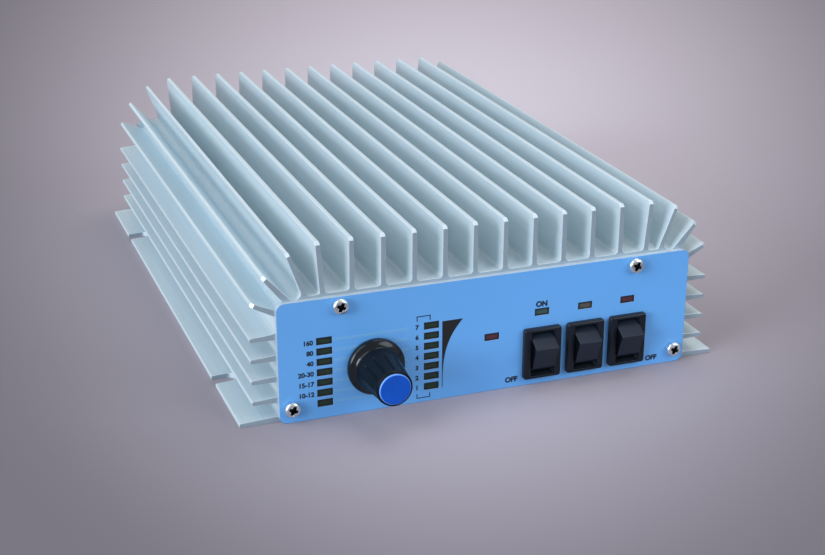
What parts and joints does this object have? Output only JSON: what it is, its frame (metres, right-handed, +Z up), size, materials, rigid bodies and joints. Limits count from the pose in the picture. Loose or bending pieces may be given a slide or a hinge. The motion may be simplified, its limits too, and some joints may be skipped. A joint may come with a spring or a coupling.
{
  "type": "hf linear amplifier",
  "caption": "Short-wave linear amplifier: finned extruded housing with foot flanges, blue front panel with selector knob, lamp columns and rocker switches, coaxial sockets behind.",
  "frame": {"origin": "middle of the base, on the underside of the foot flanges, midway between the flange edges and between the ends of the extruded housing", "axes": "+X to the right seen from the front, +Y from the front panel to the rear panel, +Z up"},
  "size_m": [0.17, 0.2565, 0.0593],
  "materials": {
    "housing_metal": "satin sand-blasted anodised",
    "cover_metal": "satin",
    "panel_blue": "satin light blue print",
    "rear_panel_metal": "satin anodised",
    "screw_chrome": "bright plated",
    "screw_steel": "zinc plated",
    "knob_black": "satin moulded",
    "cap_blue": "semi-gloss moulded",
    "brass": "plain turned",
    "shaft_steel": "ground",
    "switch_black": "semi-gloss moulded",
    "rocker_black": "semi-gloss moulded",
    "lamp_green": "diffused lens, unlit",
    "lamp_red": "diffused lens, unlit",
    "lamp_yellow": "diffused lens, unlit",
    "board_green": "solder resist",
    "part_black": "moulded",
    "lead_red": "insulation",
    "lead_grey": "insulation",
    "ceramic_white": "ceramic lid",
    "ferrite_grey": "sintered",
    "iron_red": "painted powder core",
    "capacitor_blue": "sleeve",
    "socket_nickel": "nickel plated",
    "insulator_cream": "moulded",
    "fuse_amber": "translucent moulded",
    "rubber_black": "moulded"
  },
  "bodies": {
    "amplifier": {"heatsink_housing": "housing_metal", "bottom_cover": "cover_metal", "cover_screws": "screw_steel", "front_panel": "panel_blue", "rear_panel": "rear_panel_metal", "front_panel_screws": "screw_chrome", "rear_panel_screws": "screw_chrome", "selector_switch": "part_black", "selector_nut": "screw_steel", "power_switch_body": "switch_black", "attenuator_switch_body": "switch_black", "delay_switch_body": "switch_black", "switch_terminals": "brass", "switch_leads": "lead_red", "band_leds": "lamp_green", "output_leds": "lamp_green", "protection_led": "lamp_red", "power_led": "lamp_green", "attenuator_led": "lamp_yellow", "transmit_led": "lamp_red", "display_board": "board_green", "display_spacers": "brass", "display_screws": "screw_steel", "display_header": "part_black", "main_board": "board_green", "board_spacers": "brass", "board_screws": "screw_steel", "rf_transistors": "ceramic_white", "transistor_screws": "screw_steel", "output_core": "ferrite_grey", "output_tubes": "brass", "input_transformer": "ferrite_grey", "filter_toroids": "iron_red", "band_relays": "part_black", "supply_capacitors": "capacitor_blue", "antenna_socket": "socket_nickel", "input_socket": "socket_nickel", "socket_insulators": "insulator_cream", "socket_contacts": "brass", "socket_screws": "screw_chrome", "socket_nuts": "screw_steel", "signal_leads": "lead_grey", "fuse_block": "part_black", "fuse_bodies": "fuse_amber", "fuse_blades": "shaft_steel", "fuse_terminals": "brass", "supply_leads": "lead_red", "cord_grommet": "rubber_black", "remote_jack": "socket_nickel", "remote_insulator": "insulator_cream", "remote_contact": "brass", "remote_nut": "screw_steel"},
    "selector": {"selector_knob": "knob_black", "knob_cap": "cap_blue", "knob_collet": "brass", "selector_shaft": "shaft_steel"},
    "power_rocker": {"power_rocker": "rocker_black"},
    "attenuator_rocker": {"attenuator_rocker": "rocker_black"},
    "delay_rocker": {"delay_rocker": "rocker_black"}
  },
  "joints": [
    {"name": "selector_turn", "type": "hinge", "parent": "amplifier", "child": "selector", "pos_m": [-0.0404, -0.112, 0.01585], "axis": [0, 1, 0], "range_deg": [-90, 90]},
    {"name": "power_rocker_tilt", "type": "hinge", "parent": "amplifier", "child": "power_rocker", "pos_m": [0.0181, -0.10835, 0.0116], "axis": [1, 0, 0], "range_deg": [0, 36]},
    {"name": "attenuator_rocker_tilt", "type": "hinge", "parent": "amplifier", "child": "attenuator_rocker", "pos_m": [0.0339, -0.10835, 0.0116], "axis": [1, 0, 0], "range_deg": [0, 36]},
    {"name": "delay_rocker_tilt", "type": "hinge", "parent": "amplifier", "child": "delay_rocker", "pos_m": [0.0497, -0.10835, 0.0116], "axis": [1, 0, 0], "range_deg": [0, 36]}
  ]
}
